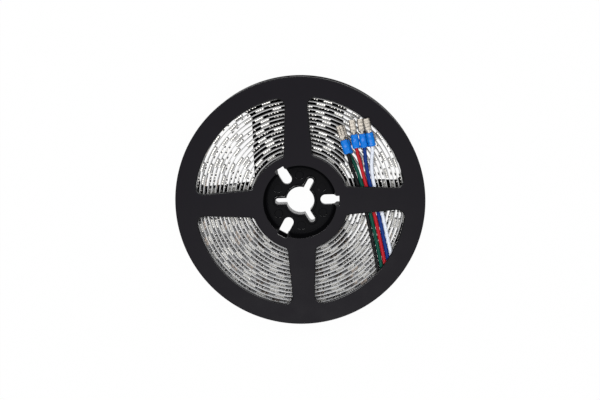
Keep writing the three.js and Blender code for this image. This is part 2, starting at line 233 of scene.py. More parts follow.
@dataclass(frozen=True)
class MouldedPlastic:
    """Black injection-moulded plastic with a fine spark-eroded grain."""

    name: str
    colour: Colour
    roughness: float
    gloss: float
    grain: float = 0.35 * MM
    grain_depth: float = 0.02 * MM
    cloud: float = 14 * MM
    brushing: float = 1.2 * MM
    paling: float = 1.5

    def build(self) -> bpy.types.Material:
        """Builds the material.

        Returns:
            The material.
        """
        made, recipe = material(self.name)
        cloud = recipe.noise(self.cloud, 3)
        grain = recipe.noise(self.grain, 2)
        brushed = recipe.noise(self.brushing, 2, (1, 0.08, 1))
        lighter = tuple(self.paling * c for c in self.colour)
        recipe.surface({
            "Base Color": recipe.blend(cloud * 0.6 + brushed * 0.2, self.colour, lighter),
            "Roughness": self.roughness - 0.12 + cloud * 0.16 + grain * 0.1,
            "Specular IOR Level": self.gloss,
            "Normal": recipe.bump(grain + brushed * 0.4, self.grain_depth, 0.6),
        })
        return made


@dataclass(frozen=True)
class BoardFace:
    """One side of the flexible board, with traces that run along it."""

    name: str
    colour: Colour
    trace_colour: Colour
    trace_pitch: float = 2.0 * MM
    trace_depth: float = 0.03 * MM
    glow_through: float = 0.75
    glow_reach: float = 4 * MM

    def build(self) -> bpy.types.Material:
        """Builds the material.

        Returns:
            The material.
        """
        made, recipe = material(self.name)
        phase = recipe.height() * (math.tau / self.trace_pitch)
        wave = recipe.node("ShaderNodeMath", {"operation": "SINE"}, {0: phase})
        trace = wave > -0.75
        cloud = recipe.noise(4 * MM, 3)
        recipe.surface({
            "Base Color": recipe.blend(trace * 0.5 + cloud * 0.4, self.trace_colour, self.colour),
            "Roughness": 0.38 + cloud * 0.2,
            "Subsurface Weight": self.glow_through,
            "Subsurface Scale": self.glow_reach,
            "Subsurface Radius": (1.0, 1.0, 1.0),
            "Normal": recipe.bump(trace, self.trace_depth, 0.5),
        })
        return made


@dataclass(frozen=True)
class Speckled:
    """A plain finish with a slight cloud in its colour and gloss."""

    name: str
    colour: Colour
    darker: Colour
    roughness: float
    metallic: float = 0.0
    cloud: float = 2.0 * MM
    grain: float = 0.2 * MM
    grain_depth: float = 0.01 * MM
    coat: float = 0.0
    gloss: float = 0.5

    def build(self) -> bpy.types.Material:
        """Builds the material.

        Returns:
            The material.
        """
        made, recipe = material(self.name)
        cloud = recipe.noise(self.cloud, 3)
        grain = recipe.noise(self.grain, 2)
        recipe.surface({
            "Base Color": recipe.blend(cloud, self.darker, self.colour),
            "Roughness": self.roughness - 0.08 + cloud * 0.16,
            "Metallic": self.metallic,
            "Coat Weight": self.coat,
            "Specular IOR Level": self.gloss,
            "Normal": recipe.bump(grain, self.grain_depth, 0.5),
        })
        return made


@dataclass(frozen=True)
class SleeveVinyl:
    """Tinted vinyl with slightly paler patches."""

    name: str = "sleeve_vinyl"
    colour: Colour = srgb(0, 94, 190)
    paler: Colour = srgb(0, 130, 226)
    coat: float = 0.1
    gloss: float = 0.2
    cloud: float = 1.6 * MM
    ripple: float = 0.5 * MM
    ripple_depth: float = 0.03 * MM

    def build(self) -> bpy.types.Material:
        """Builds the material.

        Returns:
            The material.
        """
        made, recipe = material(self.name)
        cloud = recipe.noise(self.cloud, 3)
        recipe.surface({
            "Base Color": recipe.blend(cloud, self.colour, self.paler),
            "Roughness": 0.3 + cloud * 0.15,
            "Coat Weight": self.coat,
            "Specular IOR Level": self.gloss,
            "Normal": recipe.bump(recipe.noise(self.ripple, 2), self.ripple_depth, 0.5),
        })
        return made


class Wire(Enum):
    """The five leads, by the colour of their insulation."""

    BLACK = "black"
    GREEN = "green"
    RED = "red"
    BLUE = "blue"
    WHITE = "white"

    def finish(self) -> Speckled:
        """Gives the insulation's finish.

        Returns:
            The finish, in the lead's colour.
        """
        colour, darker = INSULATION[self]
        return Speckled(f"insulation_{self.value}", colour, darker, 0.45, cloud=3 * MM,
                        grain_depth=0.015 * MM, gloss=0.18)


INSULATION = {
    Wire.BLACK: (srgb(20, 20, 22), srgb(14, 14, 16)),
    Wire.GREEN: (srgb(2, 80, 64), srgb(2, 64, 52)),
    Wire.RED: (srgb(190, 30, 42), srgb(164, 24, 36)),
    Wire.BLUE: (srgb(12, 56, 134), srgb(8, 42, 110)),
    Wire.WHITE: (srgb(236, 240, 248), srgb(214, 222, 236)),
}


def arc(centre: Flat, radius: float, start: float, end: float, step: float) -> list[Flat]:
    """Gives points on an arc, both ends included.

    Args:
        centre: The arc's centre.
        radius: Its radius.
        start: The angle of its first point, in degrees.
        end: The angle of its last point, in degrees.
        step: The most degrees between two points.

    Returns:
        The points, in order.
    """
    count = max(1, math.ceil(abs(end - start) / step - 1e-6))
    angles = [math.radians(start + (end - start) * k / count) for k in range(count + 1)]
    return [(centre[0] + radius * math.cos(a), centre[1] + radius * math.sin(a)) for a in angles]


def circle(centre: Flat, radius: float, step: float) -> list[Flat]:
    """Gives points on a full circle.

    Args:
        centre: The circle's centre.
        radius: Its radius.
        step: The most degrees between two points.

    Returns:
        The points, anticlockwise.
    """
    return arc(centre, radius, 0, 360, step)[:-1]


def turn_flat(points: Sequence[Flat], degrees: float) -> list[Flat]:
    """Turns flat points about the origin.

    Args:
        points: The points.
        degrees: The angle, anticlockwise.

    Returns:
        The turned points.
    """
    c, s = math.cos(math.radians(degrees)), math.sin(math.radians(degrees))
    return [(c * x - s * y, s * x + c * y) for x, y in points]


def rounded_box(width: float, depth: float, corner: float, step: float = 30.0) -> list[Flat]:
    """Gives the outline of a rectangle with round corners, about the origin.

    Args:
        width: Its size along X.
        depth: Its size along Y.
        corner: The radius of its corners.
        step: The most degrees between two points of a corner.

    Returns:
        The outline, anticlockwise.
    """
    x, y = width / 2 - corner, depth / 2 - corner
    corners = [(x, y, 0), (-x, y, 90), (-x, -y, 180), (x, -y, 270)]
    return [p for cx, cy, start in corners for p in arc((cx, cy), corner, start, start + 90, step)]


def wound(outline: Sequence[Flat], outer: bool) -> list[Flat]:
    """Orders an outline so that the material lies on its left.

    Args:
        outline: The points in either order.
        outer: Whether the outline bounds the material or a hole in it.

    Returns:
        The points, anticlockwise for an outer outline and clockwise for a hole.
    """
    ends = zip(outline, [*outline[1:], outline[0]])
    anticlockwise = sum(a[0] * b[1] - b[0] * a[1] for a, b in ends) > 0
    return list(outline) if anticlockwise == outer else list(reversed(outline))


def inset(outline: Sequence[Flat], distance: float) -> list[Flat]:
    """Moves an outline into the material on its left.

    Args:
        outline: The outline.
        distance: How far it moves.

    Returns:
        The moved outline.
    """
    moved = []
    for k, point in enumerate(outline):
        here = Vector(point)
        before = (here - Vector(outline[k - 1])).normalized()
        after = (Vector(outline[(k + 1) % len(outline)]) - here).normalized()
        left = Vector((-before.y - after.y, before.x + after.x)).normalized()
        shrink = max(0.35, left.dot(Vector((-before.y, before.x))))
        moved.append(tuple(here + left * (distance / shrink)))
    return moved


# The third slot takes the hub's finish, which is painted darker as shade for the recessed cup.
GRAINED, POLISHED, SHADED_HUB = range(3)


class MeshDraft:
    """The points and faces of one piece, gathered shell by shell."""

    edge_steps = 3

    def __init__(self) -> None:
        """Starts an empty draft."""
        self.points: list[Point] = []
        self.faces: list[tuple[int, ...]] = []
        self.slots: list[int] = []
        self.smooth: list[bool] = []

    def face(self, corners: tuple[int, ...], slot: int, smooth: bool) -> None:
        """Adds one face on points that the draft holds.

        Args:
            corners: The places of its points in the draft.
            slot: Its material slot.
            smooth: Whether it is shaded smoothly.
        """
        self.faces.append(corners)
        self.slots.append(slot)
        self.smooth.append(smooth)

    def loft(self, rings: Sequence[Sequence[Point]], slots: Sequence[int] = (0,), caps: bool = True) -> None:
        """Adds a skin through closed rings of equal length.

        Args:
            rings: The rings, from one end to the other.
            slots: The material slot of each side of a ring, repeated where it is shorter.
            caps: Whether flat faces close both ends.
        """
        base, size = len(self.points), len(rings[0])
        for ring in rings:
            self.points.extend(ring)
        for start in range(base, base + size * (len(rings) - 1), size):
            for k in range(size):
                a, b = start + k, start + (k + 1) % size
                self.face((a, b, b + size, a + size), slots[k % len(slots)], True)
        if caps:
            self.face(tuple(range(base + size - 1, base - 1, -1)), slots[0], False)
            self.face(tuple(range(len(self.points) - size, len(self.points))), slots[0], False)

    def plate(self, outlines: Sequence[tuple[Sequence[Flat], float]], bottom: float, top: float,
              face_slot: int = GRAINED) -> None:
        """Adds a flat plate with holes, whose cut edges are polished and rounded.

        Args:
            outlines: Its outline and then its holes' outlines, each with the radius of its edges.
            bottom: The height of its underside.
            top: The height of its upper side.
            face_slot: The material slot of its two faces.
        """
        lower, upper, flats = [], [], []
        for place, (outline, edge) in enumerate(outlines):
            outline = wound(outline, place == 0)
            base, size = len(self.points), len(outline)
            levels = self.edge_levels(edge, bottom, top)
            sides = [[(x, y, z) for x, y in inset(outline, shift)] for shift, z in levels]
            self.loft(sides, (POLISHED,), False)
            lower.extend(range(base, base + size))
            upper.extend(range(len(self.points) - size, len(self.points)))
            flats.append([Vector((x, y, 0)) for x, y in inset(outline, edge)])
        corners = [p for flat in flats for p in flat]
        for a, b, c in tessellate_polygon(flats):
            if (corners[b] - corners[a]).cross(corners[c] - corners[a]).z < 0:
                b, c = c, b
            self.face((upper[a], upper[b], upper[c]), face_slot, False)
            self.face((lower[a], lower[c], lower[b]), face_slot, False)

    def edge_levels(self, edge: float, bottom: float, top: float) -> list[tuple[float, float]]:
        """Gives how far a plate's side lies inside its outline at each height, from its underside up.

        Args:
            edge: The radius of the plate's edges.
            bottom: The height of its underside.
            top: The height of its upper side.

        Returns:
            Pairs of distance and height.
        """
        levels = []
        for k in range(self.edge_steps + 1):
            angle = math.pi / 2 * k / self.edge_steps
            levels.append((edge * (1 - math.sin(angle)), bottom + edge * (1 - math.cos(angle))))
        return levels + [(shift, bottom + top - height) for shift, height in reversed(levels)]

    def stamp(self, other: "MeshDraft", place: Matrix) -> None:
        """Adds a copy of another draft at a place.

        Args:
            other: The draft to copy.
            place: Where the copy goes.
        """
        base = len(self.points)
        self.points.extend(tuple(place @ Vector(p)) for p in other.points)
        self.faces.extend(tuple(base + k for k in corners) for corners in other.faces)
        self.slots.extend(other.slots)
        self.smooth.extend(other.smooth)

    def piece(self, name: str, finishes: Sequence[bpy.types.Material], slot: str,
              crease: float = 34.0) -> bpy.types.Object:
        """Makes the draft a piece that rides on the reel.

        Args:
            name: The piece's name.
            finishes: Its materials, in the order of the faces' slots.
            slot: The name of a material slot, which is not used.
            crease: The angle between faces above which an edge stays sharp, in degrees.

        Returns:
            The piece.
        """
        mesh = bpy.data.meshes.new(name)
        mesh.from_pydata(self.points, [], self.faces)
        mesh.polygons.foreach_set("material_index", self.slots)
        shell = bmesh.new()
        shell.from_mesh(mesh)
        bmesh.ops.recalc_face_normals(shell, faces=shell.faces)
        shell.to_mesh(mesh)
        shell.free()
        mesh.set_sharp_from_angle(angle=math.radians(crease))
        mesh.polygons.foreach_set("use_smooth", self.smooth)
        for finish in finishes:
            mesh.materials.append(finish)
        made = bpy.data.objects.new(name, mesh)
        bpy.context.scene.collection.objects.link(made)
        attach(made, BODY)
        log.info("%s: %d faces", name, len(mesh.polygons))
        return made


@dataclass(frozen=True)
class Side:
    """The straight side of a window, which lies on the left of the way from one point to another."""

    way: Vector
    normal: Vector
    offset: float

    @classmethod
    def between(cls, start: Flat, end: Flat) -> "Side":
        """Makes the side on the way from start to end.

        Args:
            start: A point on the side.
            end: A later point on it.

        Returns:
            The side.
        """
        way = (Vector(end) - Vector(start)).normalized()
        normal = Vector((-way.y, way.x))
        return cls(way, normal, normal.dot(Vector(start)))

    def fillet_on_circle(self, radius: float, fillet: float, outwards: bool) -> Vector:
        """Gives the centre of a fillet between this side and a circle about the axis.

        Args:
            radius: The distance of the fillet's centre from the axis.
            fillet: The fillet's radius.
            outwards: Whether it lies towards the side's far end.

        Returns:
            The fillet's centre.
        """
        near = self.offset + fillet
        along = math.sqrt(radius * radius - near * near) * (1 if outwards else -1)
        return self.normal * near + self.way * along

    def fillet_on_side(self, other: "Side", fillet: float) -> Vector:
        """Gives the centre of a fillet between this side and another.

        Args:
            other: The other side.
            fillet: The fillet's radius.

        Returns:
            The fillet's centre.
        """
        a, b = self.offset + fillet, other.offset + fillet
        cross = self.normal.x * other.normal.y - self.normal.y * other.normal.x
        across = Vector((a * other.normal.y - b * self.normal.y, b * self.normal.x - a * other.normal.x))
        return across / cross


def heading(point: Vector) -> float:
    """Gives a point's angle about the axis, in degrees."""
    return math.degrees(math.atan2(point.y, point.x))


@dataclass
class ReelHalf:
    """One moulded half of the reel, drawn with its outer face up and its parting face at zero."""

    node: str
    finishes: tuple[MouldedPlastic, ...]
    has_label_bar: bool
    collar_height: float
    spoke_at_hub: float
    spoke_at_rim: float
    flange_thickness: float = 1.6 * MM
    rim_edge: float = 0.32 * MM
    window_edge: float = 0.5 * MM
    mouth_edge: float = 0.1 * MM
    rim_width: float = 10.7 * MM
    hub_web: float = 5.1 * MM
    label_bar_margin: float = 3.8 * MM
    corner_at_rim: float = 4 * MM
    corner_at_hub: float = 2.7 * MM
    barrel_radius: float = 21.2 * MM
    barrel_wall: float = 1.35 * MM
    cup_draft: float = 1.0 * MM
    cup_corner: float = 1.4 * MM
    floor_thickness: float = 1.5 * MM
    floor_margin: float = 0.45 * MM
    collar_wall: float = 1.3 * MM
    spindle_radius: float = 7.6 * MM
    keyway_width: float = 3.4 * MM
    keyway_reach: float = 13.6 * MM
    slot_width: float = 5.4 * MM
    slot_start: float = 11.0 * MM
    slot_overrun: float = 0.1 * MM
    peg_circle: float = 13.9 * MM
    peg_radius: float = 2.2 * MM
    peg_clearance: float = 0.1 * MM
    peg_recess: float = 0.16 * MM
    small_edge: float = 0.14 * MM
    collar_edge: float = 0.45 * MM
    overlap: float = 0.05 * MM
    thirds: tuple[int, ...] = (0, 120, 240)
    keyway_offset: float = 60.0
    own_peg_offset: float = 30.0
    other_peg_offset: float = 90.0
    rim_step: float = 1.5
    hub_step: float = 3.0
    corner_step: float = 9.0

    def __post_init__(self) -> None:
        """Takes the half's overall size from its CAD node."""
        low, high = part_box(self.node)
        whole_low, whole_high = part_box("reel_back_half")[0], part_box("reel_front_half")[1]
        self.parting = (whole_low.z + whole_high.z) / 2
        self.flange_radius = (high.x - low.x) / 2
        self.half_width = (whole_high.z - whole_low.z) / 2
        self.faces_up = high.z > self.parting + self.half_width / 2
        self.window_outer = self.flange_radius - self.rim_width
        self.window_inner = self.barrel_radius + self.hub_web

    def spoke_side(self) -> Side:
        """Gives the upper side of the +X spoke, which tapers towards the rim."""
        at_hub = (self.window_inner, self.spoke_at_hub / 2)
        return Side.between(at_hub, (self.window_outer, self.spoke_at_rim / 2))

    def window(self, upper: Side, has_hub_arc: bool) -> list[Flat]:
        """Draws the window between the +X spoke and what bounds it at +Y.

        Args:
            upper: The side of the spoke or bar at +Y.
            has_hub_arc: Whether the window reaches the hub's arc.

        Returns:
            The window's outline.
        """
        lower = self.spoke_side()
        rim, corner = self.corner_at_rim, self.corner_at_hub
        first = lower.fillet_on_circle(self.window_outer - rim, rim, True)
        second = upper.fillet_on_circle(self.window_outer - rim, rim, False)
        points = [
            *arc(first, rim, -90, heading(first), self.corner_step),
            *arc((0, 0), self.window_outer, heading(first), heading(second), self.rim_step)[1:-1],
            *arc(second, rim, heading(second), 180, self.corner_step),
        ]
        if not has_hub_arc:
            return points + arc(lower.fillet_on_side(upper, corner), corner, 180, 270, self.corner_step)
        third = upper.fillet_on_circle(self.window_inner + corner, corner, False)
        fourth = lower.fillet_on_circle(self.window_inner + corner, corner, True)
        return [
            *points,
            *arc(third, corner, 180, heading(third) + 180, self.corner_step),
            *arc((0, 0), self.window_inner, heading(third), heading(fourth), self.hub_step)[1:-1],
            *arc(fourth, corner, heading(fourth) + 180, 270, self.corner_step),
        ]

    def windows(self) -> list[list[Flat]]:
        """Draws the four windows, between equal spokes or beside a wide upright label bar.

        Returns:
            The windows' outlines.
        """
        if self.has_label_bar:
            bar = self.barrel_radius + self.label_bar_margin
            one = self.window(Side.between((bar, self.window_outer), (bar, 0)), False)
            return [[(x * a, y * b) for x, y in one] for a, b in ((1, 1), (-1, 1), (-1, -1), (1, -1))]
        at_rim = (self.spoke_at_rim / 2, self.window_outer)
        one = self.window(Side.between(at_rim, (self.spoke_at_hub / 2, self.window_inner)), True)
        return [turn_flat(one, quarter) for quarter in (0, 90, 180, 270)]

    def cup_radius(self, height: float) -> float:
        """Gives the radius of the hub's drafted wall at a height above the parting face.

        Args:
            height: The height above the parting face.

        Returns:
            The radius there.
        """
        mouth = self.barrel_radius - self.barrel_wall
        foot = self.floor_thickness + self.cup_corner
        share = (height - foot) / (self.half_width - foot)
        return mouth - self.cup_draft * (1 - share)

    def mouth_outline(self) -> list[Flat]:
        """Draws the hub's mouth in the flange, with a notch at each snap slot.

        Returns:
            The mouth's outline.
        """
        radius, half = self.cup_radius(self.half_width), self.slot_width / 2
        end = self.barrel_radius + self.slot_overrun
        opening = math.degrees(math.asin(half / radius))
        points = []
        for turn in self.thirds:
            points += turn_flat([(end, -half), (end, half)], turn)
            points += arc((0, 0), radius, turn + opening, turn + 120 - opening, self.hub_step)
        return points

    def floor_outline(self, radius: float) -> list[Flat]:
        """Draws the hub's floor out to a radius, cut by the snap slots.

        Args:
            radius: The floor's radius.

        Returns:
            The floor's outline.
        """
        half = self.slot_width / 2
        opening = math.degrees(math.asin(half / radius))
        points = []
        for turn in self.thirds:
            points += turn_flat(arc((self.slot_start + half, 0), half, 270, 90, self.corner_step), turn)
            points += arc((0, 0), radius, turn + opening, turn + 120 - opening, self.hub_step)
        return points

    def keyhole_outline(self, margin: float) -> list[Flat]:
        """Draws the spindle hole with its keyways, grown on all sides by a margin.

        Args:
            margin: How far it is grown.

        Returns:
            The hole's outline.
        """
        radius, half = self.spindle_radius + margin, self.keyway_width / 2 + margin
        tip = self.keyway_reach - self.keyway_width / 2
        opening = math.degrees(math.asin(half / radius))
        points = []
        for third in self.thirds:
            turn = third + self.keyway_offset
            points += turn_flat(arc((tip, 0), half, -90, 90, self.corner_step), turn)
            points += arc((0, 0), radius, turn + opening, turn + 120 - opening, self.hub_step)
        return points

    def peg_centres(self, offset: float) -> list[Flat]:
        """Gives the middles of three pegs on their circle."""
        return [turn_flat([(self.peg_circle, 0)], third + offset)[0] for third in self.thirds]

    def wall(self, draft: MeshDraft) -> None:
        """Adds the barrel's wall with the cup's round foot, in three stretches between the snap slots.

        Args:
            draft: The draft that takes it.
        """
        foot = self.floor_thickness + self.cup_corner
        inner = self.cup_radius(foot)
        high = self.half_width - self.mouth_edge / 2
        profile = [
            *arc((inner - self.cup_corner, foot), self.cup_corner, -90, 0, self.corner_step),
            (self.cup_radius(high), high),
            (self.barrel_radius, high),
            (self.barrel_radius, 0),
            (inner - self.cup_corner, 0),
        ]
        half = self.slot_width / 2
        count = round(120 / self.hub_step)
        for third in self.thirds:
            rings = []
            for k in range(count + 1):
                ring = []
                for radius, height in profile:
                    opening = math.degrees(math.asin(half / radius))
                    angle = math.radians(third + opening + (120 - 2 * opening) * k / count)
                    ring.append((radius * math.cos(angle), radius * math.sin(angle), height))
                rings.append(ring)
            draft.loft(rings, (SHADED_HUB,))

    def pegs(self, draft: MeshDraft) -> None:
        """Adds the pegs' ends, which stand just below the floor in their pockets.

        Args:
            draft: The draft that takes them.
        """
        top, edge = self.floor_thickness - self.peg_recess, self.small_edge
        own, other = self.peg_radius + self.peg_clearance + self.overlap, self.peg_radius
        for radius, offset in ((own, self.own_peg_offset), (other, self.other_peg_offset)):
            for centre in self.peg_centres(offset):
                levels = [(radius, self.overlap), (radius, top - edge), (radius - edge, top)]
                rings = [[(x, y, z) for x, y in circle(centre, r, self.corner_step)] for r, z in levels]
                draft.loft(rings, (SHADED_HUB,))

    def build(self) -> bpy.types.Object:
        """Builds the half in place of its CAD node.

        Returns:
            The half.
        """
        draft = MeshDraft()
        rim = (circle((0, 0), self.flange_radius, self.rim_step), self.rim_edge)
        windows = [(window, self.window_edge) for window in self.windows()]
        mouth = (self.mouth_outline(), self.mouth_edge)
        draft.plate([rim, *windows, mouth], self.half_width - self.flange_thickness, self.half_width)
        self.wall(draft)
        pocket = self.peg_radius + self.peg_clearance
        pegs = self.peg_centres(self.own_peg_offset) + self.peg_centres(self.other_peg_offset)
        pockets = [circle(centre, pocket, self.corner_step) for centre in pegs]
        foot = self.floor_thickness + self.cup_corner
        floor_radius = self.cup_radius(foot) - self.cup_corner + self.floor_margin
        keyhole = self.keyhole_outline(0)
        outlines = (self.floor_outline(floor_radius), keyhole, *pockets)
        draft.plate([(outline, self.small_edge) for outline in outlines], 0, self.floor_thickness, SHADED_HUB)
        collar = [(self.keyhole_outline(self.collar_wall), self.collar_edge), (keyhole, self.small_edge)]
        collar_top = self.floor_thickness + self.collar_height
        draft.plate(collar, self.floor_thickness - self.overlap, collar_top, SHADED_HUB)
        self.pegs(draft)
        placed = MeshDraft()
        flip = Matrix.Identity(4) if self.faces_up else Matrix.Rotation(math.pi, 4, "X")
        placed.stamp(draft, Matrix.Translation((0, 0, self.parting)) @ flip)
        made = placed.piece(self.node + "_moulding", [f.build() for f in self.finishes], "reel_plastic")
        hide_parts(self.node)
        return made


@dataclass
class Coil:
    """The spiral that the strip is wound in, with the small unevenness of a hand-wound reel."""

    length: float = 5.0
    thickness: float = 0.45 * MM
    led_height: float = 1.6 * MM
    slack: float = 0.095 * MM
    barrel_radius: float = 21.2 * MM
    start_slack: float = 0.6 * MM
    end_angle: float = math.radians(-70)
    bulges: tuple[tuple[float, int, float], ...] = ((0.11 * MM, 3, 0.6), (0.05 * MM, 7, 2.1))
    lifts: tuple[tuple[float, float, float], ...] = ((0.07 * MM, 0.37, 0.4), (0.04 * MM, 1.13, 1.9))

    def __post_init__(self) -> None:
        """Works out the spiral from its length."""
        self.pitch = self.thickness + self.led_height + self.slack
        self.growth = self.pitch / math.tau
        self.start_radius = self.barrel_radius + self.start_slack
        self.end_radius = math.sqrt(self.start_radius**2 + self.pitch * self.length / math.pi)
        self.start_angle = self.end_angle - (self.end_radius - self.start_radius) / self.growth

    def radius(self, angle: float) -> float:
        """Gives the radius of a turn's inner side, which is the LEDs' front, at an angle."""
        bulge = sum(size * math.sin(waves * angle + phase) for size, waves, phase in self.bulges)
        return self.start_radius + self.growth * (angle - self.start_angle) + bulge

    def lift(self, angle: float) -> float:
        """Gives how much higher than its middle place the strip lies at an angle."""
        return sum(size * math.sin(waves * angle + phase) for size, waves, phase in self.lifts)

    def angle_at(self, length: float) -> float:
        """Gives the angle at a length of strip from its outer end."""
        radius = math.sqrt(self.end_radius**2 - 2 * self.growth * length)
        return self.start_angle + (radius - self.start_radius) / self.growth

    def seat(self, length: float, middle: float, sink: float = 0.0) -> Matrix:
        """Gives the place on the board's inner face, with X along it, Y down across it and Z off it.

        Args:
            length: The length of strip from its outer end.
            middle: The height of the strip's middle above the base.
            sink: How deep the seat lies under the inner face.

        Returns:
            The placing matrix.
        """
        angle = self.angle_at(length)
        radius = self.radius(angle) + self.led_height + sink
        out = Vector((math.cos(angle), math.sin(angle), 0))
        along = Vector((-out.y, out.x, 0))
        place = out * radius + Vector((0, 0, middle + self.lift(angle)))
        axes = Matrix((along, Vector((0, 0, -1)), -out)).transposed().to_4x4()
        return Matrix.Translation(place) @ axes


@dataclass
class LedStrip:
    """The wound strip: its flexible board, LED packages, resistors and solder pads."""

    coil: Coil
    led_pitch: float = 1.0 / 60
    led_side: float = 5.0 * MM
    led_notch: float = 0.7 * MM
    lead_count: int = 4
    package_lead_width: float = 0.62 * MM
    package_lead_pitch: float = 1.175 * MM
    cut_every: int = 3
    board_step: float = 2.5
    resistor_spread: float = 3.3 * MM
    resistor_row: float = -2.4 * MM
    resistor_cap: float = 0.82 * MM
    resistor_corner: float = 0.06 * MM
    pad_rows: tuple[float, ...] = tuple(row * 1.8 * MM for row in (-2, -1, 0, 1, 2))
    dice: random.Random = field(default_factory=lambda: random.Random(11))

    def __post_init__(self) -> None:
        """Takes the strip's height from its CAD node."""
        low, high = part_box("led_strip")
        self.bottom, self.top = low.z, high.z
        self.middle = (low.z + high.z) / 2

    def board(self) -> bpy.types.Object:
        """Builds the wound board, whose sides are its backing, its edges and its white face.

        Returns:
            The board.
        """
        coil, draft = self.coil, MeshDraft()
        count = round(math.degrees(coil.end_angle - coil.start_angle) / self.board_step)
        rings = []
        for k in range(count + 1):
            angle = coil.start_angle + (coil.end_angle - coil.start_angle) * k / count
            inner, lift = coil.radius(angle) + coil.led_height, coil.lift(angle)
            outer = inner + coil.thickness
            corners = ((inner, self.bottom), (outer, self.bottom), (outer, self.top), (inner, self.top))
            rings.append([(r * math.cos(angle), r * math.sin(angle), z + lift) for r, z in corners])
        draft.loft(rings, slots=(1, 0, 1, 2))
        backing = BoardFace("board_backing", srgb(196, 195, 194), srgb(180, 179, 178), glow_through=0.2)
        edge = Speckled("board_edge", srgb(202, 202, 202), srgb(176, 176, 177), 0.5, cloud=5 * MM)
        white = BoardFace("board_face", srgb(246, 248, 252), srgb(236, 240, 247))
        return draft.piece("strip_board", [f.build() for f in (backing, edge, white)], "strip", 60)

    def led(self) -> MeshDraft:
        """Drafts one LED package: housing, window in two parts, and a row of leads on each edge.

        Returns:
            The draft, on the board's face.
        """
        draft, side = MeshDraft(), self.led_side
        levels = [(1.0, 0), (1.0, 0.72), (0.97, 0.8), (0.945, 1.5), (0.925, 1.58)]
        notch = self.led_notch
        rings = []
        for share, out in levels:
            half = side * share / 2
            cut = [(-half + notch, half), (-half, half - notch)]
            outline = [(half, -half), (half, half), *cut, (-half, -half)]
            rings.append([(x, y, out * MM) for x, y in outline])
        draft.loft(rings, slots=(0,))
        for start, slot in ((0, 2), (180, 3)):
            dome = [(1.95, 1.5), (1.95, 1.6), (1.6, 1.62)]
            outline = [arc((0, 0), radius * MM, start + 2, start + 178, 15) for radius, _ in dome]
            rings = [[(x, y, out * MM) for x, y in ring] for ring, (_, out) in zip(outline, dome)]
            draft.loft(rings, slots=(slot,))
        profile = [(2.4, 0.86), (2.58, 0.86), (2.64, 0.42), (3.1, 0.05), (3.1, -0.05), (2.4, -0.05)]
        width, step = self.package_lead_width, self.package_lead_pitch
        for k in range(self.lead_count):
            x = (k - (self.lead_count - 1) / 2) * step
            for way in (-1, 1):
                ends = [[(x + width * end, way * y * MM, z * MM) for y, z in profile] for end in (-0.5, 0.5)]
                draft.loft(ends, slots=(1,))
        return draft

    def leds(self) -> bpy.types.Object:
        """Builds an LED package at every pitch along the strip.

        Returns:
            The packages, as one piece.
        """
        one, draft = self.led(), MeshDraft()
        count = math.ceil(self.coil.length / self.led_pitch - 0.5)
        for k in range(count):
            seat = self.coil.seat((k + 0.5) * self.led_pitch, self.middle, 0.06 * MM)
            wobble = Matrix.Rotation(math.radians(self.dice.uniform(-1.6, 1.6)), 4, "Z")
            shift = Matrix.Translation((0, self.dice.uniform(-0.12, 0.12) * MM, 0))
            draft.stamp(one, seat @ shift @ wobble)
        finishes = [
            Speckled("led_housing", srgb(214, 213, 209), srgb(194, 193, 189), 0.42),
            Speckled("led_leads", srgb(232, 230, 224), srgb(190, 188, 184), 0.3, 1.0),
            Speckled("led_phosphor", srgb(232, 212, 130), srgb(222, 198, 110), 0.2, coat=0.4),
            Speckled("led_clear", srgb(216, 218, 212), srgb(190, 194, 188), 0.15, coat=0.5),
        ]
        return draft.piece("strip_leds", [f.build() for f in finishes], "strip")

    def chip(self, levels: Sequence[Point], shift: float = 0.0) -> list[list[Point]]:
        """Draws a small block.

        Args:
            levels: Its width, depth and height at each level, in millimetres.
            shift: How far it lies along the strip from the middle.

        Returns:
            Its rings, from the board up.
        """
        rings = []
        for width, depth, out in levels:
            sides = rounded_box(width * MM, depth * MM, self.resistor_corner, 90)
            rings.append([(shift + x, y, out * MM) for x, y in sides])
        return rings

    def resistors(self) -> bpy.types.Object:
        """Builds a pair of chip resistors in two of every three gaps between LEDs.

        Returns:
            The resistors, as one piece.
        """
        one, draft = MeshDraft(), MeshDraft()
        body = [(1.28, 1.5, 0.0), (1.28, 1.5, 0.66), (1.2, 1.42, 0.72)]
        one.loft(self.chip(body))
        cap = [(0.42, 1.54, 0.0), (0.42, 1.54, 0.64), (0.36, 1.46, 0.74)]
        for way in (-1, 1):
            one.loft(self.chip(cap, way * self.resistor_cap), slots=(1,))
        count = int(self.coil.length / self.led_pitch)
        for k in range(1, count):
            if k % self.cut_every == 0:
                continue
            for way in (-0.5, 0.5):
                seat = self.coil.seat(k * self.led_pitch + way * self.resistor_spread, self.middle, 0.02 * MM)
                wobble = Matrix.Rotation(math.radians(self.dice.uniform(-4, 4)), 4, "Z")
                draft.stamp(one, seat @ Matrix.Translation((0, self.resistor_row, 0)) @ wobble)
        finishes = [
            Speckled("resistor_body", srgb(30, 30, 33), srgb(20, 20, 24), 0.4),
            Speckled("resistor_caps", srgb(226, 224, 218), srgb(196, 192, 186), 0.35, 1.0),
        ]
        return draft.piece("strip_resistors", [f.build() for f in finishes], "strip")

